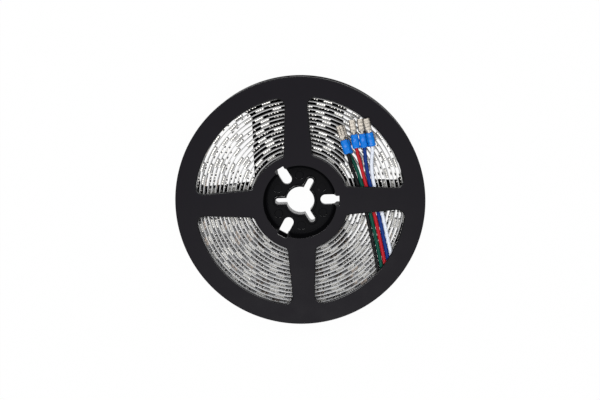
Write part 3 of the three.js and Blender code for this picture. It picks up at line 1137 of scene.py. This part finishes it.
    def pads(self) -> bpy.types.Object:
        """Builds the solder pads on both sides of every cut line.

        Returns:
            The pads, as one piece.
        """
        one, draft = MeshDraft(), MeshDraft()
        sides = rounded_box(1.9 * MM, 1.2 * MM, 0.4 * MM)
        one.loft([[(x, y, out) for x, y in sides] for out in (-0.03 * MM, 0.04 * MM)])
        count = int(self.coil.length / self.led_pitch)
        for k in range(self.cut_every, count, self.cut_every):
            for way in (-1.15, 1.15):
                seat = self.coil.seat(k * self.led_pitch + way * MM, self.middle)
                for row in self.pad_rows:
                    draft.stamp(one, seat @ Matrix.Translation((0, row, 0)))
        copper = Speckled("pad_metal", srgb(226, 208, 190), srgb(206, 184, 164), 0.35, 1.0)
        return draft.piece("strip_pads", [copper.build()], "strip")

    def build(self) -> list[bpy.types.Object]:
        """Builds the strip in place of its CAD node.

        Returns:
            Its pieces.
        """
        pieces = [self.board(), self.leds(), self.resistors(), self.pads()]
        for made in pieces:
            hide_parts("led_strip")
        return pieces


@dataclass
class JointCover:
    """The shrunk sleeve over the solder joint, from which the leads come out."""

    coil: Coil
    lap: float = 5.0 * MM
    length: float = 15.0 * MM
    overrun: float = 1.4 * MM
    thickness: float = 3.2 * MM
    clearance: float = 0.1 * MM
    corner: float = 1.1 * MM
    pinch: float = 0.35 * MM
    pinch_falloff: float = 26
    ripple: float = 0.12
    ripple_pace: float = 31
    stations: int = 28

    def build(self) -> bpy.types.Object:
        """Builds the cover in place of its CAD node.

        Returns:
            The cover.
        """
        low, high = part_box("joint_cover")
        middle, width = (low.z + high.z) / 2, high.z - low.z
        draft, rings = MeshDraft(), []
        start = self.coil.angle_at(self.lap)
        past = (self.length - self.lap + self.overrun) / self.coil.radius(self.coil.end_angle)
        end = self.coil.end_angle + past
        for k in range(self.stations + 1):
            share = k / self.stations
            angle = start + (end - start) * share
            near_end = min(share, 1 - share)
            ripple = self.ripple * math.sin(share * self.ripple_pace)
            squeeze = self.pinch * (math.exp(-near_end * self.pinch_falloff) + ripple)
            centre = self.coil.radius(min(angle, self.coil.end_angle)) + self.clearance + self.thickness / 2
            ring = []
            for out, up in rounded_box(self.thickness - squeeze, width - 2 * squeeze, self.corner):
                radius = centre + out
                ring.append((radius * math.cos(angle), radius * math.sin(angle), middle + up))
            rings.append(ring)
        draft.loft(rings)
        shrink = Speckled("shrink_cover", srgb(226, 226, 222), srgb(206, 206, 200), 0.38,
                          coat=0.2, cloud=4 * MM)
        made = draft.piece("joint_cover_shrink", [shrink.build()], "joint_cover")
        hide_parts("joint_cover")
        return made


def weld(piece: bpy.types.Object, distance: float = 0.001 * MM) -> None:
    """Joins the points of a piece that lie in one place.

    Args:
        piece: The piece.
        distance: How near its points lie to be one.
    """
    shell = bmesh.new()
    shell.from_mesh(piece.data)
    bmesh.ops.remove_doubles(shell, verts=shell.verts, dist=distance)
    bmesh.ops.recalc_face_normals(shell, faces=shell.faces)
    shell.to_mesh(piece.data)
    shell.free()


@cache
def sleeve_finish() -> bpy.types.Material:
    """Gives the one vinyl that all sleeves share."""
    return SleeveVinyl().build()


@cache
def terminal_finish() -> bpy.types.Material:
    """Gives the one metal that all terminals share."""
    bright, dull = srgb(192, 186, 177), srgb(138, 130, 119)
    return Speckled("tinned_brass", bright, dull, 0.42, 0.75, 0.9 * MM).build()


class TerminalFace(Enum):
    """Which side of a terminal lies up: the one with the rolled edges, or its flat back."""

    ROLLED = "rolled"
    BACK = "back"


@dataclass(frozen=True)
class SleeveSeat:
    """Where a sleeve's middle lies, with its heading and climb in degrees."""

    x: float
    y: float
    z: float
    heading: float
    climb: float = 0.0

    def matrix(self) -> Matrix:
        """Gives the placing matrix, with Y towards the terminal's mouth.

        Returns:
            The matrix.
        """
        turn = Matrix.Rotation(math.radians(self.heading - 90), 4, "Z")
        climb = Matrix.Rotation(math.radians(self.climb), 4, "X")
        return Matrix.Translation((self.x, self.y, self.z)) @ turn @ climb


@dataclass
class Lead:
    """One insulated lead with the sleeve and the crimp terminal on its end."""

    wire: Wire
    route: tuple[Point, ...]
    seat: SleeveSeat
    face: TerminalFace
    diameter: float = 1.98 * MM
    sleeve_length: float = 7.4 * MM
    sleeve_width: float = 4.2 * MM
    sleeve_depth: float = 3.2 * MM
    sleeve_corner: float = 1.35 * MM
    bore_radius: float = 1.736 * MM
    terminal_length: float = 6.4 * MM
    terminal_width: float = 3.6 * MM
    terminal_depth: float = 1.4 * MM
    sheet: float = 0.4 * MM
    roll_gap: float = 0.7 * MM
    rib_height: float = 0.06 * MM
    rib_waves: float = 3.5
    mouth_flare: float = 0.05 * MM
    throat_pinch: float = 0.07 * MM
    terminal_steps: int = 32
    neck_length: float = 1.6 * MM
    neck_width: float = 1.4 * MM
    neck_inset: float = 3.0 * MM

    def cord(self) -> bpy.types.Object:
        """Builds the insulated wire along its route.

        Returns:
            The wire.
        """
        name = f"lead_{self.wire.value}_wire"
        line = bpy.data.curves.new(name, "CURVE")
        line.dimensions = "3D"
        line.bevel_depth = self.diameter / 2
        line.bevel_resolution = 5
        line.resolution_u = 6
        line.use_fill_caps = True
        spline = line.splines.new("BEZIER")
        spline.bezier_points.add(len(self.route) - 1)
        for knot, place in zip(spline.bezier_points, self.route):
            knot.co = place
            knot.handle_left_type = knot.handle_right_type = "AUTO"
        line.materials.append(self.wire.finish().build())
        made = bpy.data.objects.new(name, line)
        bpy.context.scene.collection.objects.link(made)
        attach(made, BODY)
        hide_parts(f"lead_{self.wire.value}")
        return made

    def cord_length(self) -> float:
        """Measures the route as the smooth line through its points.

        Returns:
            Its length.
        """
        line = bpy.data.objects[f"lead_{self.wire.value}_wire"]
        knots = line.data.splines[0].bezier_points
        total, parts = 0.0, 24
        for a, b in zip(knots, knots[1:]):
            before = a.co
            for k in range(1, parts + 1):
                t = k / parts
                s = 1 - t
                near = s**3 * a.co + 3 * s * s * t * a.handle_right
                here = near + 3 * s * t * t * b.handle_left + t**3 * b.co
                total += (here - before).length
                before = here
        return total

    def sleeve(self) -> bpy.types.Object:
        """Builds the vinyl sleeve: flared at the wire's end, dented by the crimp, with a real bore.

        Returns:
            The sleeve.
        """
        draft = MeshDraft()
        half = self.sleeve_length / 2
        stations = [
            (-1.0, 0.93, 0.95), (-0.97, 1.0, 1.0), (-0.8, 1.0, 1.0), (-0.6, 0.97, 0.96), (-0.42, 0.97, 0.9),
            (-0.2, 1.0, 0.86), (0.05, 1.0, 0.88), (0.25, 0.96, 0.96), (0.45, 0.95, 1.0), (0.7, 0.95, 1.0),
            (0.86, 0.92, 0.97), (0.95, 0.86, 0.88), (1.0, 0.74, 0.74),
        ]
        bore = [
            (1.0, 0.75, 0.55), (0.55, 0.7, 0.7), (-0.6, 0.72, 0.72), (-0.9, 0.86, 0.86), (-1.0, 0.97, 0.97),
        ]
        rings = []
        for along, wide, deep in stations:
            corner = self.sleeve_corner * deep
            outline = rounded_box(self.sleeve_width * wide, self.sleeve_depth * deep, corner, 22.5)
            rings.append([(x, along * half, z) for x, z in outline])
        angles = [math.atan2(z, x) for x, _, z in rings[0]]
        for along, wide, deep in bore:
            across, up = self.bore_radius * wide, self.bore_radius * deep
            rings.append([(across * math.cos(a), along * half, up * math.sin(a)) for a in angles])
        rings.append(rings[0])
        draft.loft(rings, caps=False)
        placed = MeshDraft()
        placed.stamp(draft, self.seat.matrix())
        made = placed.piece(f"sleeve_{self.wire.value}_vinyl", [sleeve_finish()], "sleeve", 50)
        weld(made)
        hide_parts(f"sleeve_{self.wire.value}")
        return made

    def bed_outline(self, swell: float) -> list[Flat]:
        """Draws the section of the terminal's bed, whose edges are rolled inwards.

        Args:
            swell: How much thicker the rolls stand than their usual size.

        Returns:
            The outline of the sheet metal.
        """
        roll = self.terminal_depth / 2 + swell
        bend, lip, inside = self.terminal_width / 2 - roll + swell, self.roll_gap / 2, roll - self.sheet
        return [
            *arc((bend, 0), roll, -90, 90, 18),
            (lip, roll), (lip, inside),
            *arc((bend, 0), inside, 90, -90, 30),
            *arc((-bend, 0), inside, -90, -270, 30),
            (-lip, inside), (-lip, roll),
            *arc((-bend, 0), roll, 90, 270, 18),
        ]

    def terminal(self) -> bpy.types.Object:
        """Builds the crimp terminal: rolled bed, stamped ribs and the neck into the sleeve.

        Returns:
            The terminal.
        """
        draft = MeshDraft()
        start = self.sleeve_length / 2 + self.neck_length
        rings = []
        for k in range(self.terminal_steps + 1):
            share = k / self.terminal_steps
            wave = math.sin(share * math.tau * self.rib_waves)
            rib = self.rib_height * wave if 0.12 < share < 0.88 else 0.0
            mouth = self.mouth_flare if share > 0.96 else 0.0
            pinch = self.throat_pinch if share < 0.04 else 0.0
            outline = self.bed_outline(rib + mouth - pinch)
            rings.append([(x, start + self.terminal_length * share, z) for x, z in outline])
        draft.loft(rings)
        neck = [(-self.neck_inset, 1.0), (0.2 * MM, 1.0), (0.9 * MM, 0.9), (self.neck_length, 1.35),
                (self.neck_length + 1.2 * MM, 1.6)]
        thick, base = 0.5 * MM, -self.terminal_depth / 2 + 0.25 * MM
        rings = []
        for along, wide in neck:
            outline = rounded_box(self.neck_width * wide, thick, 0.12 * MM)
            rings.append([(x, self.sleeve_length / 2 + along, z + base) for x, z in outline])
        draft.loft(rings)
        for along in (0.3, 0.5, 0.7):
            centre = start + self.terminal_length * along
            dome = [(0.42, -0.25), (0.4, -0.1), (0.28, 0.02), (0.1, 0.06)]
            rings = [[(x, centre + y, z * MM) for x, y in circle((0, 0), r * MM, 30)] for r, z in dome]
            draft.loft(rings)
        flip = Matrix.Identity(4) if self.face is TerminalFace.ROLLED else Matrix.Rotation(math.pi, 4, "Y")
        placed = MeshDraft()
        placed.stamp(draft, self.seat.matrix() @ flip)
        made = placed.piece(f"terminal_{self.wire.value}_crimp", [terminal_finish()], "terminal", 40)
        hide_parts(f"terminal_{self.wire.value}")
        return made

    def build(self) -> bpy.types.Object:
        """Returns:
            The wire.
        """
        wire, sleeve, terminal = self.cord(), self.sleeve(), self.terminal()
        length = self.cord_length()
        log.info("lead_%s: %.1f mm", self.wire.value, length / MM)
        return wire


LEADS = (
    Lead(
        Wire.BLACK,
        (
            (0.0318, -0.0562, 0.0109), (0.0352, -0.0541, 0.0112), (0.0383, -0.0519, 0.0122),
            (0.0400, -0.0483, 0.0130), (0.0409, -0.0444, 0.0130), (0.0412, -0.0414, 0.0130),
            (0.0410, -0.0394, 0.0130), (0.0406, -0.0367, 0.0130), (0.0383, -0.0225, 0.0130),
            (0.0357, -0.0079, 0.0130), (0.0340, -0.0005, 0.0130), (0.0320, 0.0066, 0.0130),
            (0.0302, 0.0129, 0.0141), (0.0283, 0.0182, 0.0156), (0.0271, 0.0243, 0.0173),
            (0.0260, 0.0281, 0.0173),
        ),
        SleeveSeat(0.0257, 0.0293, 0.0173, 106),
        TerminalFace.ROLLED,
    ),
    Lead(
        Wire.GREEN,
        (
            (0.0318, -0.0562, 0.0089), (0.0352, -0.0541, 0.0092), (0.0387, -0.0518, 0.0102),
            (0.0414, -0.0489, 0.0116), (0.0429, -0.0456, 0.0129), (0.0433, -0.0419, 0.0130),
            (0.0431, -0.0392, 0.0130), (0.0427, -0.0364, 0.0130), (0.0404, -0.0224, 0.0130),
            (0.0377, -0.0079, 0.0130), (0.0360, -0.0005, 0.0130), (0.0341, 0.0066, 0.0130),
            (0.0322, 0.0132, 0.0130), (0.0303, 0.0189, 0.0130), (0.0280, 0.0238, 0.0138),
            (0.0270, 0.0275, 0.0138),
        ),
        SleeveSeat(0.0267, 0.0287, 0.0138, 104),
        TerminalFace.ROLLED,
    ),
    Lead(
        Wire.RED,
        (
            (0.0318, -0.0562, 0.0069), (0.0352, -0.0541, 0.0072), (0.0389, -0.0519, 0.0082),
            (0.0422, -0.0493, 0.0096), (0.0446, -0.0465, 0.0114), (0.0455, -0.0428, 0.0130),
            (0.0453, -0.0389, 0.0130), (0.0448, -0.0359, 0.0130), (0.0425, -0.0223, 0.0130),
            (0.0398, -0.0079, 0.0130), (0.0381, -0.0005, 0.0130), (0.0362, 0.0066, 0.0130),
            (0.0346, 0.0134, 0.0130), (0.0332, 0.0200, 0.0130), (0.0316, 0.0266, 0.0138),
            (0.0311, 0.0305, 0.0138),
        ),
        SleeveSeat(0.0309, 0.0317, 0.0138, 98),
        TerminalFace.BACK,
    ),
    Lead(
        Wire.BLUE,
        (
            (0.0318, -0.0562, 0.0049), (0.0352, -0.0541, 0.0052), (0.0391, -0.0520, 0.0061),
            (0.0430, -0.0498, 0.0077), (0.0460, -0.0470, 0.0099), (0.0477, -0.0432, 0.0124),
            (0.0475, -0.0387, 0.0130), (0.0469, -0.0354, 0.0130), (0.0446, -0.0222, 0.0130),
            (0.0420, -0.0079, 0.0130), (0.0403, -0.0005, 0.0130), (0.0384, 0.0066, 0.0130),
            (0.0370, 0.0140, 0.0130), (0.0361, 0.0204, 0.0130), (0.0358, 0.0267, 0.0138),
            (0.0353, 0.0307, 0.0138),
        ),
        SleeveSeat(0.0352, 0.0319, 0.0138, 97),
        TerminalFace.BACK,
    ),
    Lead(
        Wire.WHITE,
        (
            (0.0318, -0.0562, 0.0029), (0.0352, -0.0541, 0.0032), (0.0393, -0.0521, 0.0041),
            (0.0437, -0.0501, 0.0058), (0.0472, -0.0473, 0.0084), (0.0494, -0.0434, 0.0114),
            (0.0496, -0.0386, 0.0130), (0.0490, -0.0350, 0.0130), (0.0467, -0.0220, 0.0130),
            (0.0441, -0.0079, 0.0130), (0.0424, -0.0005, 0.0130), (0.0405, 0.0066, 0.0130),
            (0.0394, 0.0140, 0.0131), (0.0393, 0.0204, 0.0135), (0.0399, 0.0277, 0.0148),
            (0.0393, 0.0315, 0.0154),
        ),
        SleeveSeat(0.0391, 0.0327, 0.0156, 101, 9),
        TerminalFace.BACK,
    ),
)


@dataclass
class Studio:
    """The pale floor, the soft lamps and the camera that looks down on the reel."""

    camera_distance: float = 0.663
    tilt_up: float = 8.92
    tilt_right: float = 1.92
    roll: float = 2.3
    sensor: float = 36.0
    frame_width: float = 0.3233
    aim: Point = (0.0001, 0.0012, 0.016)
    floor_side: float = 5.0
    floor_drop: float = 0.02 * MM
    floor_glow: float = 0.98
    sky: float = 0.2

    def camera(self) -> None:
        """Sets the camera, turned about its view so that the reel leans as in the photograph."""
        up = Matrix.Rotation(math.radians(-self.roll), 3, "Z") @ Vector((0, 1, 0))
        right = Matrix.Rotation(math.radians(-self.roll), 3, "Z") @ Vector((1, 0, 0))
        lean = up * math.tan(math.radians(self.tilt_up)) + right * math.tan(math.radians(self.tilt_right))
        back = (Vector((0, 0, 1)) + lean).normalized()
        across = up.cross(back).normalized()
        axes = Matrix((across, back.cross(across), back)).transposed().to_4x4()
        lens = bpy.data.cameras.new("camera")
        lens.sensor_width = self.sensor
        lens.lens = self.sensor * self.camera_distance / self.frame_width
        lens.clip_end = 20
        made = bpy.data.objects.new("camera", lens)
        made.matrix_world = Matrix.Translation(Vector(self.aim) + back * self.camera_distance) @ axes
        bpy.context.scene.collection.objects.link(made)
        bpy.context.scene.camera = made

    def floor(self) -> None:
        """Lays the pale floor, which keeps the reel's shadow."""
        half = self.floor_side / 2
        mesh = bpy.data.meshes.new("floor")
        corners = [(-half, -half), (half, -half), (half, half), (-half, half)]
        mesh.from_pydata([(x, y, -self.floor_drop) for x, y in corners], [], [(0, 1, 2, 3)])
        paint, recipe = material("floor_paint")
        matt = recipe.node("ShaderNodeBsdfDiffuse", None, {"Color": (0.85, 0.85, 0.85)})
        glow = recipe.node("ShaderNodeEmission", None, {"Color": (1.0, 1.0, 1.0), "Strength": 1.0})
        share = recipe.seen_directly() * self.floor_glow
        mixed = recipe.node("ShaderNodeMixShader", None, {0: share, 1: matt, 2: glow})
        recipe.output("ShaderNodeOutputMaterial", mixed)
        mesh.materials.append(paint)
        made = bpy.data.objects.new("floor", mesh)
        bpy.context.scene.collection.objects.link(made)

    def world(self) -> None:
        """Sets a white surround that lights the reel softly."""
        world = bpy.data.worlds.new("surround")
        bpy.context.scene.world = world
        recipe = Recipe(world)
        soft = recipe.node("ShaderNodeBackground", None, {"Color": (1.0, 1.0, 1.0), "Strength": self.sky})
        white = recipe.node("ShaderNodeBackground", None, {"Color": (1.0, 1.0, 1.0), "Strength": 1.0})
        camera_ray = recipe.node("ShaderNodeLightPath")
        mixed = recipe.node("ShaderNodeMixShader", None, {0: camera_ray, 1: soft, 2: white})
        recipe.output("ShaderNodeOutputWorld", mixed)

    def lamp(self, name: str, place: Point, side: float, power: float) -> None:
        """Hangs a square soft lamp that faces the reel.

        Args:
            name: The lamp's name.
            place: Where it hangs.
            side: The length of its side.
            power: Its power, in watts.
        """
        light = bpy.data.lights.new(name, "AREA")
        light.size = side
        light.energy = power
        made = bpy.data.objects.new(name, light)
        made.location = place
        made.rotation_euler = Vector(place).to_track_quat("Z", "Y").to_euler()
        bpy.context.scene.collection.objects.link(made)

    def build(self) -> None:
        """Sets up the floor, the surround and the lamps."""
        bpy.context.scene.view_settings.view_transform = "Standard"
        self.floor()
        self.world()
        self.lamp("key", (-0.5, 0.65, 1.25), 0.5, 9)
        self.lamp("fill", (0.6, 0.6, 1.2), 0.7, 6.5)
        self.lamp("front", (0.0, -0.5, 1.35), 0.5, 7.5)


def main() -> None:
    """Builds the camera and the leads first, then the reel, the strip and the studio."""
    logging.basicConfig(level=logging.INFO)
    studio = Studio()
    studio.camera()
    for lead in LEADS:
        lead.build()
    front = MouldedPlastic("reel_plastic_front", srgb(18, 16, 21), 0.4, 0.07)
    back = MouldedPlastic("reel_plastic_back", srgb(18, 16, 20), 0.4, 0.07)
    polished = MouldedPlastic("reel_plastic_polished", srgb(12, 12, 14), 0.2, 0.38)
    # The hub's finish is the flange plastic painted darker: painted shade for the recessed cup, its wall,
    # floor, collar and pegs.
    hub = MouldedPlastic("reel_plastic_hub_painted_shade", srgb(12, 12, 14), 0.42, 0.03)
    ReelHalf("reel_back_half", (back, polished, hub), True, 4.5 * MM, 20.4 * MM, 16.0 * MM).build()
    ReelHalf("reel_front_half", (front, polished, hub), False, 1.2 * MM, 15.4 * MM, 11.6 * MM).build()
    coil = Coil()
    LedStrip(coil).build()
    JointCover(coil).build()
    studio.build()


if __name__ == "__main__":
    main()
